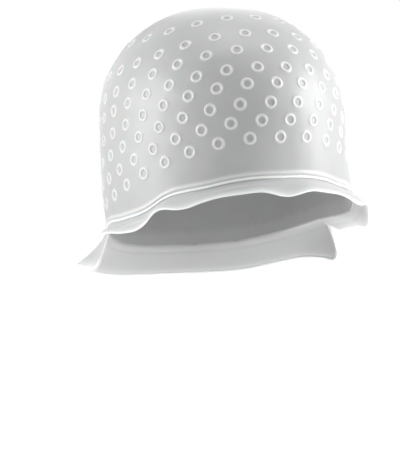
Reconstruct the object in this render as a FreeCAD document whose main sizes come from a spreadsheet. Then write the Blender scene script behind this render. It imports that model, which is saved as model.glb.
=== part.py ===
"""Highlighting cap, millimetres. X to the wearer's left, Y to the back of the head, Z up.

The origin is on the crown's vertical axis, at mid height of the opening for the head.
Angles round the cap are measured from the brow: 0 is the front, 90 the left ear, 180 the nape.
"""

import FreeCAD, Part
import math
import os

import Sketcher

V = FreeCAD.Vector
os.makedirs("parts", exist_ok=True)
doc = FreeCAD.newDocument("highlighting_cap")

DIMENSIONS = {
    "crown_half_width": 83.0,
    "crown_half_length": 102.0,
    "crown_rise": 77.0,
    "widest_level": 70.0,
    "wall": 1.1,
    "swell_height": 10.0,
    "swell_left_bias": 0.9,
    "ring_outer_radius": 4.3,
    "ring_inner_radius": 2.4,
    "ring_proud": 0.55,
    "ring_rooted": 0.25,
    "ring_chamfer": 0.3,
    "ring_pitch": 20.4,
    "film_radius": 2.3,
    "film": 0.35,
    "rib_bead_radius": 1.0,
    "upper_rib_radius": 0.8,
    "upper_rib_spacing": 2.7,
    "skirt_wall": 1.1,
    "skirt_left_bias": 0.33,
    "skirt_gap": 0.75,
    "skirt_bead_radius": 1.0,
    "nape_bead_radius": 1.25,
}

sheet = doc.addObject("Spreadsheet::Sheet", "dimensions")
for line, (word, value) in enumerate(DIMENSIONS.items(), start=1):
    sheet.set("A%d" % line, word)
    sheet.set("B%d" % line, str(value))
    sheet.setAlias("B%d" % line, word)
doc.recompute()
D = DIMENSIONS
BLOCK_REACH = 125.0
TUBE_STEP = 11.5
TUBE_SECTIONS = 11


# ---------------------------------------------------------------- shape of the head

# angle from the brow, level of the rib line that the skirt hangs from
RIB_LINE = [
    (0, 29.4),
    (12, 29.1),
    (24, 26.7),
    (35, 22.6),
    (46, 19.0),
    (51, 16.8),
    (56, 13.2),
    (62, 7.8),
    (68, 3.7),
    (76, 0.5),
    (84, -2.2),
    (97, -5.5),
    (110, -11.5),
    (125, -18.5),
    (145, -25.5),
    (165, -28.5),
    (180, -29.0),
]
# angle from the brow, then three things there: depth of the skirt below the rib, how far its
# free edge stands out beyond the rib, and how far the wall itself swells out above the rib
SKIRT_SHAPE = [
    (0, 11.2, 8.0, 0.0),
    (11, 7.8, 8.0, 0.0),
    (20, 7.8, 8.0, 0.8),
    (31, 7.4, 8.0, 2.3),
    (36, 8.2, 8.0, 3.3),
    (42, 10.0, 8.0, 5.2),
    (47, 9.6, 8.0, 6.2),
    (54, 6.2, 8.0, 7.4),
    (58, 6.0, 8.0, 7.8),
    (63, 9.2, 8.2, 7.7),
    (68, 10.2, 8.8, 7.4),
    (75, 9.6, 10.6, 6.2),
    (85, 7.4, 13.5, 4.2),
    (92, 7.6, 14.5, 3.1),
    (99, 8.0, 14.0, 2.2),
    (112, 8.0, 14.0, 0.8),
    (130, 8.0, 14.0, 0.0),
]
# the nape flap, from the left corner round to the right one: angle from the brow, depth, how
# far the free edge stands out, and the bend on the way there (below 1 out first, then down)
NAPE_SHAPE = [
    (99, 30.3, 18.5, 0.45),
    (110, 24.8, 20.5, 0.6),
    (122, 20.6, 20.5, 0.9),
    (148, 21.8, 17.0, 1.15),
    (180, 21.0, 14.0, 1.15),
    (212, 21.8, 18.0, 1.2),
    (238, 20.6, 22.0, 1.3),
    (250, 24.8, 20.5, 1.3),
    (261, 30.3, 10.0, 1.3),
]


def smooth(shape, column, angle):
    """A smooth curve through one column of a shape table."""
    if angle >= shape[-1][0]:
        return shape[-1][column]
    if angle <= shape[0][0]:
        return shape[0][column]
    k = max(i for i in range(len(shape) - 1) if shape[i][0] <= angle)

    def slope(i):
        if i == 0 or i == len(shape) - 1:
            return 0.0
        return (shape[i + 1][column] - shape[i - 1][column]) / (shape[i + 1][0] - shape[i - 1][0])

    span = shape[k + 1][0] - shape[k][0]
    u = (angle - shape[k][0]) / span
    start = shape[k][column] * (1 + 2 * u) * (1 - u) ** 2
    start += slope(k) * span * u * (1 - u) ** 2
    end = shape[k + 1][column] * u * u * (3 - 2 * u)
    end += slope(k + 1) * span * u * u * (u - 1)
    return start + end


def fall(degrees, easing):
    """How a line round the cap falls from brow (0) to ear (about 1) to nape."""
    w = 1 - math.cos(math.radians(degrees))
    return w * w / (w + 0.05) - easing * max(0.0, w - 0.6) ** 2


def rib_level(degrees):
    return smooth(RIB_LINE, 1, abs((degrees + 180) % 360 - 180))


def field_level(degrees):
    """Foot of the field of rings."""
    return 50.0 - 46.0 * fall(degrees, 0.28)


def swell(degrees, level):
    """How far the wall swells sideways just above the rib, mostly on the wearer's left."""
    from_brow = abs((degrees + 180) % 360 - 180)
    above = level - rib_level(degrees)
    share = 1 / (1 + math.exp((above - 4.0) / D["swell_height"]))
    one_sided = 1 + D["swell_left_bias"] * math.sin(math.radians(degrees))
    return smooth(SKIRT_SHAPE, 3, from_brow) * share * one_sided


def wall_point(degrees, level, inset=0.0):
    """The point of the outside at this angle round the cap and this level, or one inside it."""
    turn = math.radians(degrees)
    if level >= D["widest_level"]:
        climb = min(0.999, (level - D["widest_level"]) / D["crown_rise"])
        shrink = math.sqrt(1 - climb * climb)
        half_width = (D["crown_half_width"] - inset) * shrink
        half_length = (D["crown_half_length"] - inset) * shrink
        return V(half_width * math.sin(turn), -half_length * math.cos(turn), level)
    q = (D["widest_level"] - level) / 100
    half_width = D["crown_half_width"] - inset + 5 * q - 9 * q * q + swell(degrees, level)
    half_length = D["crown_half_length"] - inset - 4 * q - 8 * q * q
    return V(half_width * math.sin(turn), -8.5 * q - half_length * math.cos(turn), level)


def wall_normal(degrees, level):
    """Unit vector straight out of the outside."""
    along = wall_point(degrees + 0.5, level) - wall_point(degrees - 0.5, level)
    up = wall_point(degrees, level + 0.4) - wall_point(degrees, level - 0.4)
    normal = along.cross(up)
    return normal.normalize()


# ---------------------------------------------------------------- small builders

def solid_feature(name, shape):
    feature = doc.addObject("Part::Feature", name)
    feature.Shape = shape
    return feature


def ellipsoid(name, inset):
    """The upper half of an ellipsoid standing on the widest level."""
    half = doc.addObject("Part::Ellipsoid", name)
    half.setExpression("Radius1", "dimensions.crown_rise - %s" % inset)
    half.setExpression("Radius2", "dimensions.crown_half_width - %s" % inset)
    half.setExpression("Radius3", "dimensions.crown_half_length - %s" % inset)
    half.Angle1 = 0
    half.Angle2 = 90
    half.setExpression("Placement.Base.z", "dimensions.widest_level")
    return half


def tapered_tube(name, inset):
    """A loft through level sections, from the widest level down past the nape."""
    sections = []
    levels = [D["widest_level"] - step * TUBE_STEP for step in range(TUBE_SECTIONS)]
    angles = range(180, 540, 10)
    for number, level in enumerate(levels):
        curve = Part.BSplineCurve()
        points = [wall_point(a, level, inset) for a in angles]
        stations = [math.radians(a - 180) for a in list(angles) + [540]]
        curve.interpolate(Points=points, PeriodicFlag=True, Parameters=stations)
        section = solid_feature("%s_level_%d" % (name, number), Part.Wire(curve.toShape()))
        sections.append(section)
    tube = doc.addObject("Part::Loft", name)
    tube.Sections = sections
    tube.Solid = True
    tube.Ruled = False
    return tube


def line_across(level_of):
    """A line round the cap as it looks from the side, run on past brow and nape."""
    across = [V(0, wall_point(a, level_of(a)).y, level_of(a)) for a in range(0, 181, 6)]
    before = V(0, -BLOCK_REACH, level_of(0))
    behind = V(0, BLOCK_REACH, level_of(180))
    curve = Part.BSplineCurve()
    curve.interpolate([before] + across + [behind])
    return curve.toShape()


def block_between(name, low_edge, high_edge):
    """A block across the whole cap between two lines seen from the side."""
    low_start, low_end = low_edge.Vertexes[0].Point, low_edge.Vertexes[-1].Point
    high_start, high_end = high_edge.Vertexes[0].Point, high_edge.Vertexes[-1].Point
    ends = [Part.makeLine(low_end, high_end), Part.makeLine(high_start, low_start)]
    outline = Part.sortEdges([low_edge, high_edge] + ends)[0]
    face = Part.Face(Part.Wire(outline))
    face.translate(V(-BLOCK_REACH, 0, 0))
    return solid_feature(name, face.extrude(V(2 * BLOCK_REACH, 0, 0)))


def combine(kind, name, base, tool):
    feature = doc.addObject(kind, name)
    feature.Base = base
    feature.Tool = tool
    return feature


# ---------------------------------------------------------------- crown and headband

crown_out = ellipsoid("crown_outside", "0")
crown_in = ellipsoid("crown_inside", "dimensions.wall")
crown_shell = combine("Part::Cut", "crown_shell", crown_out, crown_in)

tube_out = tapered_tube("tube_outside", 0)
tube_in = tapered_tube("tube_inside", D["wall"])
tube_shell = combine("Part::Cut", "tube_shell", tube_out, tube_in)

rib_edge = line_across(rib_level)
field_edge = line_across(field_level)
top_edge = Part.makeLine(V(0, -BLOCK_REACH, 200), V(0, BLOCK_REACH, 200))
field_block = block_between("field_block", field_edge, top_edge)
band_block = block_between("band_block", rib_edge, field_edge)

field_wall = combine("Part::Common", "field_wall", tube_shell, field_block)
smooth_headband = combine("Part::Common", "smooth_headband", tube_shell, band_block)


# ---------------------------------------------------------------- rounded ribs

def rod(points, directions, seam_sides, radius):
    """A round rod through these points, square to these directions, its seam on these sides."""
    hoops = []
    for point, direction, seam_side in zip(points, directions, seam_sides):
        hoop = Part.Wire(Part.makeCircle(radius))
        turned = FreeCAD.Rotation(seam_side, V(0, 0, 0), direction, "ZXY")
        hoop.Placement = FreeCAD.Placement(point, turned)
        hoops.append(hoop)
    return Part.makeLoft(hoops, True, False)


def path_directions(point_of, angles):
    return [(point_of(a + 0.5) - point_of(a - 0.5)).normalize() for a in angles]


def closed_rib(name, raised, radius):
    """A rib all the way round: a left and a right half that meet at brow and nape."""
    def centre(degrees):
        level = rib_level(degrees) + raised
        return wall_point(degrees, level)

    halves = []
    for start in (0, 180):
        angles = [start + step * 7.5 for step in range(25)]
        directions = path_directions(centre, angles)
        directions[0] = V(1, 0, 0) if start == 0 else V(-1, 0, 0)
        directions[-1] = V(-1, 0, 0) if start == 0 else V(1, 0, 0)
        outward = [wall_normal(a, rib_level(a) + raised) for a in angles]
        halves.append(rod([centre(a) for a in angles], directions, outward, radius))
    return solid_feature(name, halves[0].fuse(halves[1]))


rib_raise = D["rib_bead_radius"] + 0.1
rib_bead_rod = closed_rib("rib_bead_rod", rib_raise, D["rib_bead_radius"])
upper_rib_rod = closed_rib("upper_rib_rod", rib_raise + D["upper_rib_spacing"], D["upper_rib_radius"])
rib_bead = combine("Part::Cut", "rib_bead", rib_bead_rod, tube_out)
upper_rib = combine("Part::Cut", "upper_rib", upper_rib_rod, tube_out)


# ---------------------------------------------------------------- skirt and nape flap

def skirt_depth(degrees):
    return smooth(SKIRT_SHAPE, 1, abs(degrees))


def skirt_flare(degrees, share):
    """How far the skirt stands out, share 0 at the rib and 1 at the free edge."""
    one_sided = 1 + D["skirt_left_bias"] * math.sin(math.radians(degrees))
    return smooth(SKIRT_SHAPE, 2, abs(degrees)) * one_sided * share ** 1.15


def nape_depth(degrees):
    return smooth(NAPE_SHAPE, 1, degrees)


def nape_flare(degrees, share):
    return smooth(NAPE_SHAPE, 2, degrees) * share ** smooth(NAPE_SHAPE, 3, degrees)


def skirt_point(degrees, share, depth_of, flare_of):
    """Outside of the skirt: share 0 at the rib, 1 at the free edge."""
    level = rib_level(degrees) - D["skirt_gap"]
    root = wall_point(degrees, level)
    out = wall_normal(degrees, level)
    out = V(out.x, out.y, 0).normalize()
    return root + out * flare_of(degrees, share) - V(0, 0, depth_of(degrees) * share)


def skirt_normal(degrees, share, depth_of, flare_of):
    along = (skirt_point(degrees + 0.5, share, depth_of, flare_of)
             - skirt_point(degrees - 0.5, share, depth_of, flare_of))
    low = max(0.0, share - 0.05)
    down = (skirt_point(degrees, share + 0.05, depth_of, flare_of)
            - skirt_point(degrees, low, depth_of, flare_of))
    return down.cross(along).normalize()


def skin(outer, inner):
    """A solid between two grids of points."""
    near = Part.BSplineSurface()
    near.interpolate(outer)
    far = Part.BSplineSurface()
    far.interpolate(inner)
    near_u0, near_u1, near_v0, near_v1 = near.bounds()
    far_u0, far_u1, far_v0, far_v1 = far.bounds()
    pairs = [
        (near.uIso(near_u0), far.uIso(far_u0)),
        (near.uIso(near_u1), far.uIso(far_u1)),
        (near.vIso(near_v0), far.vIso(far_v0)),
        (near.vIso(near_v1), far.vIso(far_v1)),
    ]
    faces = [near.toShape(), far.toShape()]
    faces += [Part.makeRuledSurface(a.toShape(), b.toShape()) for a, b in pairs]
    sewn = Part.makeCompound(faces)
    sewn.sewShape(0.01)
    solid = Part.makeSolid(sewn.Shells[0])
    if solid.Volume < 0:
        solid.reverse()
    return solid


def skirt_section(name, start, end, depth_of, flare_of, bead_radius):
    """One section of the skirt and the rounded bead along its free edge."""
    steps = max(8, int((end - start) / 5))
    angles = [start + (end - start) * i / steps for i in range(steps + 1)]
    last = 1 - bead_radius / (depth_of((start + end) / 2) + 2)
    shares = [last * j / 5 for j in range(6)]
    outer = []
    inner = []
    for a in angles:
        column = [skirt_point(a, s, depth_of, flare_of) for s in shares]
        depth_in = [skirt_normal(a, s, depth_of, flare_of) * D["skirt_wall"] for s in shares]
        depth_in[0] = wall_normal(a, rib_level(a)) * D["skirt_wall"]
        outer.append(column)
        inner.append([point - step for point, step in zip(column, depth_in)])
    solid_feature(name, skin(outer, inner))

    def centre(degrees):
        mid_wall = skirt_normal(degrees, 1, depth_of, flare_of) * (D["skirt_wall"] / 2)
        return skirt_point(degrees, 1, depth_of, flare_of) - mid_wall

    points = [centre(a) for a in angles]
    outward = [skirt_normal(a, 1, depth_of, flare_of) for a in angles]
    bead = rod(points, path_directions(centre, angles), outward, bead_radius)
    solid_feature(name + "_edge_bead", bead)


gap_angle = 0.25
skirt = (skirt_depth, skirt_flare, D["skirt_bead_radius"])
nape = (nape_depth, nape_flare, D["nape_bead_radius"])
SECTIONS = [
    ("brow_skirt", -34, 34, skirt),
    ("left_ear_skirt", 34, 99, skirt),
    ("right_ear_skirt", -99, -34, skirt),
    ("left_nape_corner", 99, 140, nape),
    ("nape_flap", 140, 220, nape),
    ("right_nape_corner", 220, 261, nape),
]
for name, start, end, (depth_of, flare_of, bead_radius) in SECTIONS:
    skirt_section(name, start + gap_angle, end - gap_angle, depth_of, flare_of, bead_radius)


# ---------------------------------------------------------------- rings

ring_body = doc.addObject("PartDesign::Body", "ring")
ring_sketch = ring_body.newObject("Sketcher::SketchObject", "ring_half_section")
upright = [o for o in ring_body.Origin.OriginFeatures if o.Role == "XZ_Plane"][0]
ring_sketch.AttachmentSupport = [(upright, "")]
ring_sketch.MapMode = "FlatFace"
inside = D["ring_inner_radius"]
outside = D["ring_outer_radius"]
top = D["ring_proud"]
foot = -D["ring_rooted"]
cut = D["ring_chamfer"]
outline = [
    V(inside, foot, 0),
    V(outside, foot, 0),
    V(outside, top - cut, 0),
    V(outside - cut * 1.6, top, 0),
    V(inside + cut * 1.6, top, 0),
    V(inside, top - cut, 0),
]
for number, corner in enumerate(outline):
    following = outline[(number + 1) % len(outline)]
    ring_sketch.addGeometry(Part.LineSegment(corner, following), False)
for number in range(len(outline)):
    ring_sketch.addConstraint(
        Sketcher.Constraint("Coincident", number, 2, (number + 1) % len(outline), 1)
    )
ring_turn = ring_body.newObject("PartDesign::Revolution", "ring_turn")
ring_turn.Profile = ring_sketch
ring_turn.ReferenceAxis = (ring_sketch, ["V_Axis"])
ring_turn.Angle = 360
doc.recompute()

# level at the brow, fall to the ear, and where the first ring sits from the middle of the brow
RING_ROWS = [
    (57.2, 47.0, -2.5),
    (68.6, 44.1, 4.8),
    (80.2, 41.2, 11.4),
    (93.0, 39.8, -2.8),
    (103.5, 34.6, 6.8),
    (115.9, 33.6, -2.8),
    (126.4, 27.6, 8.0),
    (137.5, 17.2, 4.0),
]


def row_point(degrees, brow_level, side_fall):
    return wall_point(degrees, brow_level - side_fall * fall(degrees, 0.28))


def ring_angles(brow_level, side_fall, first):
    """Angles that space the rings evenly along the row, from the brow both ways."""
    walk = []
    length = 0.0
    before = row_point(-180, brow_level, side_fall)
    for half_degree in range(-360, 361):
        here = row_point(half_degree / 2, brow_level, side_fall)
        length += (here - before).Length
        walk.append((length, half_degree / 2))
        before = here
    middle = walk[360][0]
    count = int(round(length / D["ring_pitch"]))
    spacing = length / count
    angles = []
    for number in range(count):
        target = (middle + first + number * spacing) % length
        after = next(i for i in range(1, len(walk)) if walk[i][0] >= target)
        low, high = walk[after - 1], walk[after]
        share = (target - low[0]) / (high[0] - low[0])
        angles.append(low[1] + share * (high[1] - low[1]))
    return angles


pegs = []
for number, (brow_level, side_fall, first) in enumerate(RING_ROWS, start=1):
    rings = []
    for degrees in ring_angles(brow_level, side_fall, first):
        centre = row_point(degrees, brow_level, side_fall)
        tilt = FreeCAD.Rotation(V(0, 0, 1), wall_normal(degrees, centre.z))
        ring = ring_body.Shape.copy()
        ring.Placement = FreeCAD.Placement(centre, tilt)
        rings.append(ring)
        peg = Part.makeCylinder(D["film_radius"], 3, V(0, 0, D["film"] - D["wall"]))
        peg.Placement = ring.Placement
        pegs.append(peg)
    solid_feature("ring_row_%d" % number, Part.makeCompound(rings))

# inside every ring the wall is thinned to a film for the hook to pierce
film_pegs = solid_feature("film_pegs", Part.makeCompound(pegs))
crown_dome = combine("Part::Cut", "crown_dome", crown_shell, film_pegs)
crown_wall = combine("Part::Cut", "crown_wall", field_wall, film_pegs)


# ---------------------------------------------------------------- export

NODES = ["crown_dome", "crown_wall", "smooth_headband", "rib_bead", "upper_rib"]
NODES += ["ring_row_%d" % number for number in range(1, 9)]
for section in SECTIONS:
    NODES += [section[0], section[0] + "_edge_bead"]

doc.recompute()
for feature in doc.Objects:
    if "Invalid" in feature.State or "Error" in feature.State:
        raise RuntimeError("failed: " + feature.Name)
for name in NODES:
    feature = doc.getObject(name)
    feature.Label = name
    shape = feature.Shape
    if shape.isNull() or not shape.isValid():
        raise RuntimeError("bad shape: " + name)
    print(name, len(shape.Solids), round(shape.Volume, 1), shape.optimalBoundingBox(False, False))
    shape.exportStep("parts/%s.step" % name)
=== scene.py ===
"""Frosted silicone highlighting cap: one seamless skin, its turned-out skirt and its nape flap.

Lengths in the tables below are millimetres in the CAD frame; vertices are written in metres.
Angles round the cap run from the brow: 0 front, 90 the wearer's left ear, 180 the nape.
"""

import math

import bpy
import numpy as np
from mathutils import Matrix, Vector
from mathutils.geometry import delaunay_2d_cdt


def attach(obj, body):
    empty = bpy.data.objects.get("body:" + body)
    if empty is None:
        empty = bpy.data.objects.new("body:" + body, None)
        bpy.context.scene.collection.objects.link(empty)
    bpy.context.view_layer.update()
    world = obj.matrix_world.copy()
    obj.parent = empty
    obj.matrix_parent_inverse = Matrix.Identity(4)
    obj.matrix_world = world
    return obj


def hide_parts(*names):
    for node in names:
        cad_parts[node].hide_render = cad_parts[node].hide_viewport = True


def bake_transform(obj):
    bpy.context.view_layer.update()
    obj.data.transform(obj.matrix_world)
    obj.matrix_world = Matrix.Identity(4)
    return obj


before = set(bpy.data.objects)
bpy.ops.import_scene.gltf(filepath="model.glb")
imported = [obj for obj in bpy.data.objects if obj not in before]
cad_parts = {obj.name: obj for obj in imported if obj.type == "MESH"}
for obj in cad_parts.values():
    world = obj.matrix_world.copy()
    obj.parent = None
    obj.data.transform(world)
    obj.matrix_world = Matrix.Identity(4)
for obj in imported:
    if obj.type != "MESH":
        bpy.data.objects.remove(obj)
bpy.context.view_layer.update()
MM = 0.001

# ------------------------------------------------------------------ the shape, as in the CAD

HALF_WIDTH, HALF_LENGTH, RISE, WIDEST = 83.0, 102.0, 77.0, 70.0
WALL = 1.1
SWELL_HEIGHT = 10.0
SWELL_LEFT_BIAS, SKIRT_LEFT_BIAS = 0.9, 0.33
RIB_RADIUS = 1.0
UPPER_RIB_MIDDLE, UPPER_RIB_HALF, UPPER_RIB_HEIGHT = 4.0, 1.8, 0.5
RING_PITCH = 20.4
RING_SEGMENTS = 20
DOME_SPAN = 132.0        # how much of the "down" coordinate the crown takes
MAP_REACH = 250.0        # half width of the flat map
OUTSIDE_GRID, INSIDE_GRID = 3.7, 4.2
BAND_HEIGHT = 7.2        # the ribs and the edge of the wall are meshed as rows up to here
BROW_END, EAR_END, CORNER_END = 34, 99, 140    # where the sections of skirt and flap meet

# angle from the brow, level of the rib line that the skirt hangs from; the levels up to 97 degrees,
# and the depths in SKIRT_SHAPE, are rounded and adjusted results of a separate solver
RIB_LINE = np.array([
    (0, 29.4), (12, 29.1), (24, 26.7), (35, 22.6), (46, 19.0), (51, 16.8), (56, 13.2),
    (62, 7.8), (68, 3.7), (76, 0.5), (84, -2.2), (97, -5.5), (110, -11.5), (125, -18.5),
    (145, -25.5), (165, -28.5), (180, -29.0)])
# angle, depth below the rib, reach of the free edge beyond it, swell of the wall above it
SKIRT_SHAPE = np.array([
    (0, 11.2, 8.0, 0.0), (11, 7.8, 8.0, 0.0), (20, 7.8, 8.0, 0.8), (31, 7.4, 8.0, 2.3),
    (36, 8.2, 8.0, 3.3), (42, 10.0, 8.0, 5.2), (47, 9.6, 8.0, 6.2), (54, 6.2, 8.0, 7.4),
    (58, 6.0, 8.0, 7.8), (63, 9.2, 8.2, 7.7), (68, 10.2, 8.8, 7.4), (75, 9.6, 10.6, 6.2),
    (85, 7.4, 13.5, 4.2), (92, 7.6, 14.5, 3.1), (99, 8.0, 14.0, 2.2), (112, 8.0, 14.0, 0.8),
    (130, 8.0, 14.0, 0.0)])
# the same for the nape flap, but last the bend of the sheet: below 1 it goes out first, then down
NAPE_SHAPE = np.array([
    (99, 30.3, 18.5, 0.45), (110, 24.8, 20.5, 0.6), (122, 20.6, 20.5, 0.9),
    (148, 21.8, 17.0, 1.15), (180, 21.0, 14.0, 1.15), (212, 21.8, 18.0, 1.2),
    (238, 20.6, 22.0, 1.3), (250, 24.8, 20.5, 1.3), (261, 30.3, 10.0, 1.3)])
# level at the brow, fall to the ear, and where the first ring sits from the middle of the brow;
# these numbers are the results of a separate least-squares fit, as they are in the CAD source
RING_ROWS = [
    (57.2, 47.0, -2.5), (68.6, 44.1, 4.8), (80.2, 41.2, 11.4), (93.0, 39.8, -2.8),
    (103.5, 34.6, 6.8), (115.9, 33.6, -2.8), (126.4, 27.6, 8.0), (137.5, 17.2, 4.0)]


def smooth(shape, column, angle):
    """A smooth curve through one column of a shape table."""
    at, value = shape[:, 0], shape[:, column]
    slope = np.zeros(len(at))
    slope[1:-1] = (value[2:] - value[:-2]) / (at[2:] - at[:-2])
    angle = np.clip(np.asarray(angle, float), at[0], at[-1])
    k = np.clip(np.searchsorted(at, angle, side="right") - 1, 0, len(at) - 2)
    span = at[k + 1] - at[k]
    u = (angle - at[k]) / span
    start = value[k] * (1 + 2 * u) * (1 - u) ** 2 + slope[k] * span * u * (1 - u) ** 2
    end = value[k + 1] * u * u * (3 - 2 * u) + slope[k + 1] * span * u * u * (u - 1)
    return start + end


def fall(degrees, easing):
    w = 1 - np.cos(np.radians(degrees))
    return w * w / (w + 0.05) - easing * np.maximum(0.0, w - 0.6) ** 2


def rib_level(degrees):
    return smooth(RIB_LINE, 1, np.abs((np.asarray(degrees, float) + 180) % 360 - 180))


def wall_point(degrees, level):
    """Points of the outside of the wall and crown, as an array of x, y, z."""
    degrees, level = np.broadcast_arrays(np.asarray(degrees, float), np.asarray(level, float))
    turn = np.radians(degrees)
    climb = np.clip((level - WIDEST) / RISE, 0.0, 1.0)
    shrink = np.sqrt(1 - climb * climb)
    q = np.maximum(0.0, WIDEST - level) / 100
    from_brow = np.abs((degrees + 180) % 360 - 180)
    above = np.clip((level - rib_level(degrees) - 4.0) / SWELL_HEIGHT, -40, 40)
    one_sided = 1 + SWELL_LEFT_BIAS * np.sin(turn)
    swell = smooth(SKIRT_SHAPE, 3, from_brow) * one_sided / (1 + np.exp(above))
    swell = np.where(level < WIDEST, swell, 0)
    half_width = (HALF_WIDTH + 5 * q - 9 * q * q) * shrink + swell
    half_length = (HALF_LENGTH - 4 * q - 8 * q * q) * shrink
    return np.stack([half_width * np.sin(turn), -8.5 * q - half_length * np.cos(turn), level], -1)


def level_at(down):
    """The crown is unrolled from its top: down 0 is the top, DOME_SPAN the widest level."""
    polar = np.radians(90 * (1 - np.minimum(down, DOME_SPAN) / DOME_SPAN))
    return WIDEST + RISE * np.sin(polar) - np.maximum(0.0, down - DOME_SPAN)


def down_at(level):
    climb = np.clip((level - WIDEST) / RISE, 0.0, 1.0)
    return DOME_SPAN * (1 - np.degrees(np.arcsin(climb)) / 90) + np.maximum(0.0, WIDEST - level)


def map_point(degrees, level):
    """Where a point of the cap lies on the flat map that the skin is meshed on."""
    turn, down = np.radians(degrees), down_at(level)
    return np.stack([down * np.sin(turn), -down * np.cos(turn)], -1)


def dents(flat):
    """Slow unevenness of a soft moulding, a few tenths of a millimetre."""
    x, y = flat[..., 0], flat[..., 1]
    waves = np.sin(x * 0.061 + 1.3 * np.sin(y * 0.043))
    waves += np.sin(y * 0.083 - 0.9 * np.sin(x * 0.037 + 2.1))
    waves += 0.6 * np.sin((x + y) * 0.135 + 0.7) * np.sin((x - y) * 0.117)
    return 0.13 * waves


def surface(flat):
    """Outside of the cap at points of the flat map."""
    x, y = flat[..., 0], flat[..., 1]
    down = np.hypot(x, y)
    return wall_point(np.degrees(np.arctan2(x, -y)), level_at(down))


def tangents(flat):
    step = 0.05
    x_step, y_step = np.array([step, 0.0]), np.array([0.0, step])
    along_x = (surface(flat + x_step) - surface(flat - x_step)) / (2 * step)
    along_y = (surface(flat + y_step) - surface(flat - y_step)) / (2 * step)
    return along_x, along_y


def skin_points(flat, height):
    """Points of the skin, raised by height along the normal."""
    along_x, along_y = tangents(flat)
    normal = np.cross(along_x, along_y)
    normal /= np.linalg.norm(normal, axis=-1, keepdims=True)
    return surface(flat) + normal * (height + dents(flat))[..., None]


# ------------------------------------------------------------------ meshes

def make_piece(name, vertices, faces, thickness):
    """An object from millimetre vertices. thickness 0 is bare wall, 1 the solid rings and ribs."""
    mesh = bpy.data.meshes.new(name)
    mesh.from_pydata((np.asarray(vertices) * MM).tolist(), [], faces)
    mesh.update()
    mesh.shade_smooth()
    mesh.set_sharp_from_angle(angle=math.radians(62))
    milk = mesh.attributes.new("milk", "FLOAT", "POINT")
    milk.data.foreach_set("value", np.asarray(thickness, np.float32))
    piece = bpy.data.objects.new(name, mesh)
    bpy.context.scene.collection.objects.link(piece)
    return piece


class Shell:
    """Vertices and faces gathered from several patches."""

    def __init__(self):
        self.vertices, self.faces, self.thickness = [], [], []

    def add(self, points, thickness):
        first = len(self.vertices)
        self.vertices.extend(np.reshape(points, (-1, 3)).tolist())
        count = len(self.vertices) - first
        self.thickness.extend(np.broadcast_to(thickness, (count,)).tolist())
        return list(range(first, first + count))

    def strip(self, lower, upper, closed):
        """Quads between two rows of vertices."""
        count = len(lower)
        for i in range(count if closed else count - 1):
            j = (i + 1) % count
            self.faces.append((lower[i], lower[j], upper[j], upper[i]))


def ring_places():
    """Angle and level of every ring: even arc lengths along each row."""
    places = []
    for brow_level, side_fall, first in RING_ROWS:
        angles = np.arange(-360, 361) / 2
        levels = brow_level - side_fall * fall(angles, 0.28)
        points = wall_point(angles, levels)
        steps = np.linalg.norm(np.diff(points, axis=0), axis=1)
        walk = np.concatenate([[0.0], np.cumsum(steps)])
        count = int(round(walk[-1] / RING_PITCH))
        targets = (walk[360] + first + np.arange(count) * walk[-1] / count) % walk[-1]
        chosen = np.interp(targets, walk, angles)
        places += list(zip(chosen, brow_level - side_fall * fall(chosen, 0.28)))
    return np.array(places)


# ring profile from its middle out: radius, height, and how thick and white it looks
RING_PROFILE = [
    (1.1, -0.22, 0.0), (1.7, -0.22, 0.0), (2.05, -0.16, 0.04), (2.3, -0.04, 0.12),
    (2.5, 0.1, 0.22), (2.75, 0.26, 0.34), (3.05, 0.4, 0.43), (3.4, 0.46, 0.46),
    (3.75, 0.4, 0.42), (4.05, 0.26, 0.32), (4.35, 0.12, 0.18), (4.6, 0.03, 0.07),
    (5.0, 0.0, 0.0)]


def hexagonal_points(spacing, reach):
    rows = int(reach / (spacing * 0.866)) + 1
    grid = []
    for row in range(-rows, rows + 1):
        shift = 0.5 * spacing * (row % 2)
        line = np.arange(-reach, reach, spacing) + shift
        grid.append(np.stack([line, np.full(len(line), row * spacing * 0.866)], -1))
    return np.concatenate(grid)


def fill(shell, flat_loops, loop_ids, spare_flat, height, thickness):
    """Triangles between boundary loops, over loose points. The first loop is the outer one."""
    spare_ids = shell.add(skin_points(spare_flat, np.full(len(spare_flat), height)), thickness)
    flat, ids, edges, inner_of = [], [], [], {}
    for number, (loop, members) in enumerate(zip(flat_loops, loop_ids)):
        first = len(flat)
        flat += [Vector(p) for p in loop.tolist()]
        ids += members
        count = len(members)
        edges += [(first + i, first + (i + 1) % count) for i in range(count)]
        if number:
            inner_of.update({first + i: number for i in range(count)})
    flat += [Vector(p) for p in spare_flat.tolist()]
    ids += spare_ids
    outer = list(range(len(loop_ids[0])))
    result = delaunay_2d_cdt(flat, edges, [outer], 1, 1e-6)
    origin = [group[0] for group in result[3]]
    for triangle in result[2]:
        source = [origin[v] for v in triangle]
        loops = {inner_of.get(v, -1 - v) for v in source}
        if len(loops) > 1 or min(loops) < 0:
            shell.faces.append(tuple(ids[v] for v in source))


def orient(shell, start, outward):
    """Turns the faces added since start so that they face away from (or to) the axis."""
    points = np.array(shell.vertices)
    for index in range(start, len(shell.faces)):
        face = shell.faces[index]
        a, b, c = (points[v] for v in face[:3])
        away = (a + b + c) / 3 - np.array([0.0, 0.0, 45.0])
        if (np.dot(np.cross(b - a, c - a), away) > 0) != outward:
            shell.faces[index] = face[::-1]


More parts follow.
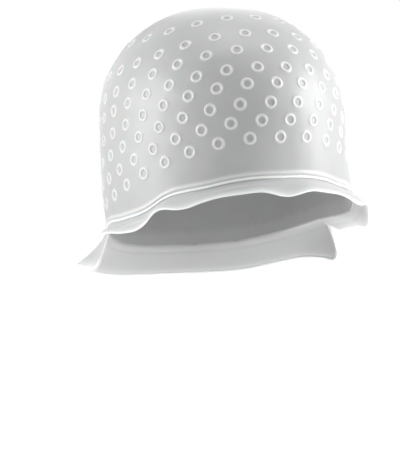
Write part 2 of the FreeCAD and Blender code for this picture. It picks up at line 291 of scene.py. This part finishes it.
def build_skin():
    shell = Shell()
    around = np.arange(0, 360, 1.25)
    rib_middle = RIB_RADIUS + 0.1
    rows = [(0.0, 0.0, 0.3)]
    for k in range(9):
        lean_over = math.pi * k / 8
        rows.append((rib_middle - RIB_RADIUS * math.cos(lean_over),
                     0.9 * RIB_RADIUS * math.sin(lean_over), 0.3 + 0.55 * math.sin(lean_over)))
    for k in range(1, 10):
        share = -1 + 0.2 * k
        rows.append((UPPER_RIB_MIDDLE + UPPER_RIB_HALF * share,
                     UPPER_RIB_HEIGHT * math.cos(0.5 * math.pi * share) ** 2,
                     0.1 + 0.3 * math.cos(0.5 * math.pi * share) ** 2))
    rows += [(6.1, 0.0, 0.05), (BAND_HEIGHT, 0.0, 0.0)]

    loops = []
    for raised, height, thickness in rows:
        flat = map_point(around, rib_level(around) + raised)
        points = skin_points(flat, np.full(len(around), height))
        loops.append(shell.add(points, thickness))
    for lower, upper in zip(loops, loops[1:]):
        shell.strip(lower, upper, True)

    # every ring is a round patch of its own, let into the wall
    places = ring_places()
    centres = map_point(places[:, 0], places[:, 1])
    along_x, along_y = tangents(centres)
    clock = np.arange(RING_SEGMENTS) * 2 * math.pi / RING_SEGMENTS
    flat_loops = [map_point(around, rib_level(around) + BAND_HEIGHT)]
    loop_ids = [loops[-1]]
    for centre, a, b in zip(centres, along_x, along_y):
        first_way = a / np.linalg.norm(a)
        normal = np.cross(a, b)
        second_way = np.cross(normal / np.linalg.norm(normal), first_way)
        unroll = np.linalg.pinv(np.stack([a, b], 1))
        rounds = np.cos(clock)[:, None] * first_way + np.sin(clock)[:, None] * second_way
        middle = shell.add(skin_points(centre[None], np.array([RING_PROFILE[0][1]])), 0.0)[0]
        before = None
        for radius, height, thickness in RING_PROFILE:
            flat = centre + radius * rounds @ unroll.T
            circle = shell.add(skin_points(flat, np.full(RING_SEGMENTS, height)), thickness)
            if before is None:
                for i in range(RING_SEGMENTS):
                    shell.faces.append((middle, circle[i], circle[(i + 1) % RING_SEGMENTS]))
            else:
                shell.strip(before, circle, True)
            before = circle
        flat_loops.append(flat)
        loop_ids.append(before)

    # the wall between them
    grid = hexagonal_points(OUTSIDE_GRID, MAP_REACH)
    down = np.hypot(grid[:, 0], grid[:, 1])
    turn = np.degrees(np.arctan2(grid[:, 0], -grid[:, 1]))
    foot = down_at(rib_level(turn) + BAND_HEIGHT)
    grid = grid[down < foot - 2.0]
    keep = np.ones(len(grid), bool)
    for loop, centre in zip(flat_loops[1:], centres):
        edge = loop - centre
        scale = np.linalg.inv(edge.T @ edge * (2 / RING_SEGMENTS))
        offset = grid - centre
        keep &= np.einsum("ij,jk,ik->i", offset, scale, offset) > 1.3 ** 2
    fill(shell, flat_loops, loop_ids, grid[keep], 0.0, 0.0)
    orient(shell, 0, True)

    # the inside, smooth, one wall thickness in
    start = len(shell.faces)
    inner_rows = []
    for raised in (0.0, 0.8, 2.4, 4.6, BAND_HEIGHT):
        flat = map_point(around, rib_level(around) + raised)
        row = skin_points(flat, np.full(len(around), -WALL))
        inner_rows.append(shell.add(row, 0.6 if raised < 0.5 else 0.1))
    for lower, upper in zip(inner_rows, inner_rows[1:]):
        shell.strip(upper, lower, True)
    grid = hexagonal_points(INSIDE_GRID, MAP_REACH)
    down = np.hypot(grid[:, 0], grid[:, 1])
    turn = np.degrees(np.arctan2(grid[:, 0], -grid[:, 1]))
    grid = grid[down < down_at(rib_level(turn)) - BAND_HEIGHT - 2.4]
    fill(shell, [flat], [inner_rows[-1]], grid, -WALL, 0.0)
    orient(shell, start, False)
    shell.strip(inner_rows[0], loops[0], True)
    return make_piece("cap_skin", shell.vertices, shell.faces, shell.thickness)


# ------------------------------------------------------------------ skirt and flap

ROOT_TUCK = 0.9      # how far the root of the skirt reaches up inside the wall
RIDGE_DOWN, RIDGE_HEIGHT, RIDGE_WIDTH = 4.2, 0.45, 0.8    # the faint line along the skirt
SKIRT_EDGE, FLAP_SIDE, FLAP_EDGE = 0.68, 0.8, 1.1         # radii of the rounded free edges
FLAP_CORNER = 5.0


def skirt_middle(degrees, share, shape):
    """Middle of the sheet: share 0 at the rib, 1 at the free edge."""
    degrees, share = np.broadcast_arrays(np.asarray(degrees, float), np.asarray(share, float))
    below = np.maximum(share, 0)
    if shape is NAPE_SHAPE:
        depth = smooth(shape, 1, degrees)
        reach = smooth(shape, 2, degrees) * below ** smooth(shape, 3, degrees)
    else:
        depth = smooth(shape, 1, np.abs(degrees))
        one_sided = 1 + SKIRT_LEFT_BIAS * np.sin(np.radians(degrees))
        reach = smooth(shape, 2, np.abs(degrees)) * one_sided * below ** 1.15
    level = rib_level(degrees)
    root = wall_point(degrees, level)
    along = wall_point(degrees + 0.5, level) - wall_point(degrees - 0.5, level)
    up = wall_point(degrees, level + 0.4) - wall_point(degrees, level - 0.4)
    out = np.cross(along, up)
    out /= np.linalg.norm(out, axis=-1, keepdims=True)
    out[..., 2] = 0
    out /= np.linalg.norm(out, axis=-1, keepdims=True)
    down = depth * below - ROOT_TUCK * np.maximum(-share, 0)
    ridge = RIDGE_HEIGHT * np.exp(-((down - RIDGE_DOWN) / RIDGE_WIDTH) ** 2)
    ridge = np.where(down > 0, ridge, 0)
    reach = reach - 0.5 * WALL + ridge
    return root + out * reach[..., None] - np.stack([0 * down, 0 * down, down], -1)


def sheet_normals(points):
    """Outward normals of a grid of points [angle, share]."""
    along = np.gradient(points, axis=0)
    fall_line = np.gradient(points, axis=1)
    normal = np.cross(fall_line, along)
    return normal / np.linalg.norm(normal, axis=-1, keepdims=True)


def add_sheet(shell, points, thickness, close_ends):
    """A sheet one wall thick, thinner at its root where it is tucked into the wall."""
    half_thickness = np.full(points.shape[:2], 0.5 * WALL)
    half_thickness[:, :2] = (0.22, 0.5)
    offset = sheet_normals(points) * half_thickness[..., None]
    outer = [shell.add(row, t) for row, t in zip(points + offset, thickness)]
    inner = [shell.add(row, t) for row, t in zip(points - offset, thickness)]
    for a, b in zip(range(len(points) - 1), range(1, len(points))):
        for c in range(points.shape[1] - 1):
            shell.faces.append((outer[a][c], outer[a][c + 1], outer[b][c + 1], outer[b][c]))
            shell.faces.append((inner[a][c], inner[b][c], inner[b][c + 1], inner[a][c + 1]))
        for c, swap in ((0, False), (points.shape[1] - 1, True)):
            face = (outer[a][c], outer[b][c], inner[b][c], inner[a][c])
            shell.faces.append(face[::-1] if swap else face)
    if close_ends:
        for row, swap in ((0, True), (len(points) - 1, False)):
            for c in range(points.shape[1] - 1):
                face = (outer[row][c], outer[row][c + 1], inner[row][c + 1], inner[row][c])
                shell.faces.append(face[::-1] if swap else face)


def add_tube(shell, path, radii, close_ends):
    """A round bead along a path, with turning-free frames."""
    segments = 12
    heading = np.gradient(path, axis=0)
    heading /= np.linalg.norm(heading, axis=-1, keepdims=True)
    side = np.cross(heading[0], [0.0, 0.0, 1.0])
    if np.linalg.norm(side) < 0.2:
        side = np.cross(heading[0], [0.0, 1.0, 0.0])
    clock = np.arange(segments) * 2 * math.pi / segments
    hoops = []
    for point, ahead, radius in zip(path, heading, radii):
        side = side - ahead * np.dot(side, ahead)
        side /= np.linalg.norm(side)
        over = np.cross(ahead, side)
        hoop = point + radius * (np.cos(clock)[:, None] * side + np.sin(clock)[:, None] * over)
        hoops.append(shell.add(hoop, 0.75))
    for before, after in zip(hoops, hoops[1:]):
        shell.strip(after, before, True)
    if close_ends:
        for hoop, point, swap in ((hoops[0], path[0], True), (hoops[-1], path[-1], False)):
            tip = shell.add(point[None], 0.75)[0]
            for i in range(segments):
                face = (hoop[i], hoop[(i + 1) % segments], tip)
                shell.faces.append(face[::-1] if swap else face)


SHARES = np.concatenate([[-1.0, 0.0], np.linspace(0, 1, 25)[1:]])


def build_skirt(name, start, end):
    """A length of the wavy skirt with its rounded free edge."""
    shell = Shell()
    angles = np.linspace(start, end, int(round((end - start) / 1.0)) + 1)
    points = skirt_middle(angles[:, None], SHARES[None, :], SKIRT_SHAPE)
    shade = np.broadcast_to(0.12 + 0.5 * np.maximum(SHARES, 0) ** 6, points.shape[:2])
    add_sheet(shell, points, shade, False)
    add_tube(shell, points[:, -1], np.full(len(angles), SKIRT_EDGE), False)
    return make_piece(name, shell.vertices, shell.faces, shell.thickness)


def build_flap(name, start, end):
    """The nape flap, with rounded lower corners and a bead along its three free edges."""
    shell = Shell()
    angles = start + (end - start) * np.linspace(0, 1, 131)
    edge_line = skirt_middle(angles, 1.0, NAPE_SHAPE)
    length = np.concatenate([[0], np.cumsum(np.linalg.norm(np.diff(edge_line, axis=0), axis=1))])
    from_end = np.minimum(length, length[-1] - length)
    rounded = np.maximum(0.0, FLAP_CORNER - from_end)
    cut = FLAP_CORNER - np.sqrt(np.maximum(0.0, FLAP_CORNER ** 2 - rounded ** 2))
    depth = smooth(NAPE_SHAPE, 1, angles)
    lowest = 1 - cut / depth
    shares = np.where(SHARES > 0, SHARES * lowest[:, None], SHARES)
    points = skirt_middle(angles[:, None], shares, NAPE_SHAPE)
    shade = np.broadcast_to(0.08 + 0.5 * np.maximum(SHARES, 0) ** 10, points.shape[:2])
    add_sheet(shell, points, shade, True)
    front, back = points[0], points[-1]
    path = np.concatenate([front[1:-1], points[:, -1], back[1:-1][::-1]])
    radii = np.concatenate([np.full(len(front) - 2, FLAP_SIDE), np.full(len(angles), FLAP_EDGE),
                            np.full(len(back) - 2, FLAP_SIDE)])
    steps = np.linalg.norm(np.diff(path, axis=0), axis=1)
    walk = np.concatenate([[0.0], np.cumsum(steps)])
    even = np.arange(0, walk[-1], 1.1)
    even_path = np.stack([np.interp(even, walk, path[:, i]) for i in range(3)], -1)
    for _ in range(3):
        even_path[1:-1] = (even_path[:-2] + 2 * even_path[1:-1] + even_path[2:]) / 4
    add_tube(shell, even_path, np.interp(even, walk, radii), True)
    return make_piece(name, shell.vertices, shell.faces, shell.thickness)


# ------------------------------------------------------------------ silicone

def frosted_silicone():
    """Milky silicone: grey where it is thin, whiter where it is thick, satin all over."""
    material = bpy.data.materials.new("frosted_silicone")
    material.use_nodes = True
    nodes, links = material.node_tree.nodes, material.node_tree.links
    shader = nodes["Principled BSDF"]
    place = nodes.new("ShaderNodeTexCoord")
    milk = nodes.new("ShaderNodeAttribute")
    milk.attribute_name = "milk"

    cloud = nodes.new("ShaderNodeTexNoise")
    cloud.inputs["Scale"].default_value = 38.0
    cloud.inputs["Detail"].default_value = 4.0
    grain = nodes.new("ShaderNodeTexNoise")
    grain.inputs["Scale"].default_value = 900.0
    grain.inputs["Detail"].default_value = 2.0
    for texture in (cloud, grain):
        links.new(place.outputs["Object"], texture.inputs["Vector"])

    thin = nodes.new("ShaderNodeMix")
    thin.data_type = "RGBA"
    thin.inputs[6].default_value = (0.33, 0.335, 0.335, 1)
    thin.inputs[7].default_value = (0.38, 0.385, 0.385, 1)
    links.new(cloud.outputs["Fac"], thin.inputs[0])
    colour = nodes.new("ShaderNodeMix")
    colour.data_type = "RGBA"
    colour.inputs[7].default_value = (0.76, 0.765, 0.765, 1)
    links.new(milk.outputs["Fac"], colour.inputs[0])
    links.new(thin.outputs[2], colour.inputs[6])
    links.new(colour.outputs[2], shader.inputs["Base Color"])

    rough = nodes.new("ShaderNodeMapRange")
    rough.inputs["To Min"].default_value = 0.34
    rough.inputs["To Max"].default_value = 0.5
    links.new(cloud.outputs["Fac"], rough.inputs["Value"])
    links.new(rough.outputs["Result"], shader.inputs["Roughness"])
    bump = nodes.new("ShaderNodeBump")
    bump.inputs["Strength"].default_value = 0.12
    bump.inputs["Distance"].default_value = 0.0002
    links.new(grain.outputs["Fac"], bump.inputs["Height"])
    links.new(bump.outputs["Normal"], shader.inputs["Normal"])
    shader.inputs["Specular IOR Level"].default_value = 0.45
    shader.inputs["IOR"].default_value = 1.41
    shader.inputs["Sheen Weight"].default_value = 0.55
    shader.inputs["Sheen Roughness"].default_value = 0.35
    shader.inputs["Sheen Tint"].default_value = (1, 1, 1, 1)
    shader.inputs["Subsurface Weight"].default_value = 0.12
    shader.inputs["Subsurface Scale"].default_value = 0.002
    shader.inputs["Alpha"].default_value = 0.93
    return material


# ------------------------------------------------------------------ pieces

RINGS = ["ring_row_%d" % number for number in range(1, 9)]
silicone = frosted_silicone()

skin = build_skin()
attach(skin, "cap")
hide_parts("crown_dome", "crown_wall", "smooth_headband", "rib_bead", "upper_rib", *RINGS)


def fold(piece, shape, start, end, low, high):
    """Works out the middle of the free edge between low and high, still points along the root from
    start to end and down the sheet at start, low, high and end, and a spread of directions, but
    uses none of them: it only bakes the piece's transform into its mesh, and nothing bends it."""
    middle = skirt_middle((low + high) / 2, 1.0, shape)
    angles = np.linspace(start, end, 60)
    ends = np.array([start, low, high, end])
    still = np.concatenate([
        skirt_middle(angles, 0.0, shape),
        skirt_middle(ends[:, None], np.linspace(0, 1, 6)[None, :], shape).reshape(-1, 3)])
    turn, tilt = np.meshgrid(np.radians(np.arange(0, 360, 3)), np.radians(np.arange(-88, 60, 4)))
    ways = np.stack([np.cos(tilt) * np.sin(turn), -np.cos(tilt) * np.cos(turn), np.sin(tilt)], -1)
    ways = ways.reshape(-1, 3)
    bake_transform(piece)


brow = build_skirt("brow_skirt_soft", -BROW_END, BROW_END)
fold(brow, SKIRT_SHAPE, -BROW_END, BROW_END, -BROW_END, BROW_END)
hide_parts("brow_skirt", "brow_skirt_edge_bead")

left_ear = build_skirt("left_ear_skirt_soft", BROW_END, EAR_END)
fold(left_ear, SKIRT_SHAPE, BROW_END, EAR_END, BROW_END, EAR_END)
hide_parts("left_ear_skirt", "left_ear_skirt_edge_bead")

right_ear = build_skirt("right_ear_skirt_soft", -EAR_END, -BROW_END)
fold(right_ear, SKIRT_SHAPE, -EAR_END, -BROW_END, -EAR_END, -BROW_END)
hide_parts("right_ear_skirt", "right_ear_skirt_edge_bead")

flap = build_flap("nape_flap_soft", EAR_END, 360 - EAR_END)
fold(flap, NAPE_SHAPE, EAR_END, 360 - EAR_END, CORNER_END, 360 - CORNER_END)
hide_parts("nape_flap", "nape_flap_edge_bead",
            "left_nape_corner", "left_nape_corner_edge_bead",
            "right_nape_corner", "right_nape_corner_edge_bead")

for piece in (skin, brow, left_ear, right_ear, flap):
    piece.data.materials.append(silicone)


# ------------------------------------------------------------------ light, floor and camera

def area_light(name, place, aim, size, power):
    light = bpy.data.lights.new(name, "AREA")
    light.shape = "DISK"
    light.size = size
    light.energy = power
    holder = bpy.data.objects.new(name, light)
    holder.location = place
    holder.rotation_euler = (Vector(aim) - Vector(place)).to_track_quat("-Z", "Y").to_euler()
    bpy.context.scene.collection.objects.link(holder)


MIDDLE = (0, 0, 0.05)
area_light("left", (-1.35, 0.45, 0.35), MIDDLE, 1.0, 28)
area_light("right", (1.2, -0.5, 0.45), MIDDLE, 1.0, 32)
area_light("front", (-0.9, -1.5, 0.9), MIDDLE, 0.8, 2)
area_light("overhead", (0, 0.1, 1.4), MIDDLE, 0.8, 9)
area_light("below", (0.1, -0.9, -0.26), (0, 0.08, -0.04), 0.4, 2.5)

# the camera sees a white room; the cap is lit by a dimmer one
world = bpy.data.worlds.new("studio")
world.use_nodes = True
nodes, links = world.node_tree.nodes, world.node_tree.links
background = nodes["Background"]
background.inputs["Color"].default_value = (1, 1, 1, 1)
rays = nodes.new("ShaderNodeLightPath")
strength = nodes.new("ShaderNodeMapRange")
strength.inputs["To Min"].default_value = 0.44
strength.inputs["To Max"].default_value = 1.0
links.new(rays.outputs["Is Camera Ray"], strength.inputs["Value"])
links.new(strength.outputs["Result"], background.inputs["Strength"])
bpy.context.scene.world = world

bpy.ops.mesh.primitive_circle_add(vertices=96, radius=0.85, fill_type="NGON", location=(0, 0, -0.3))
floor = bpy.context.object
floor.name = "floor"
paper = bpy.data.materials.new("paper")
paper.use_nodes = True
paper.node_tree.nodes["Principled BSDF"].inputs["Base Color"].default_value = (0.86, 0.86, 0.86, 1)
paper.node_tree.nodes["Principled BSDF"].inputs["Roughness"].default_value = 0.8
floor.data.materials.append(paper)

TURN, RAISE, DISTANCE = math.radians(24), math.radians(1), 1.5
CROWN_MIDDLE = Vector((0, 0, 0.07))
look = Vector((math.sin(TURN) * math.cos(RAISE),
               math.cos(TURN) * math.cos(RAISE),
               -math.sin(RAISE)))
right = Vector((math.cos(TURN), -math.sin(TURN), 0))
TARGET = CROWN_MIDDLE - right * 0.01454 - right.cross(look) * 0.0805
camera_data = bpy.data.cameras.new("camera")
camera_data.lens = 166.8
camera_data.sensor_width = 36
camera = bpy.data.objects.new("camera", camera_data)
camera.location = CROWN_MIDDLE - look * DISTANCE
camera.rotation_euler = (TARGET - camera.location).to_track_quat("-Z", "Y").to_euler()
bpy.context.scene.collection.objects.link(camera)
bpy.context.scene.camera = camera
bpy.context.scene.view_settings.view_transform = "Standard"
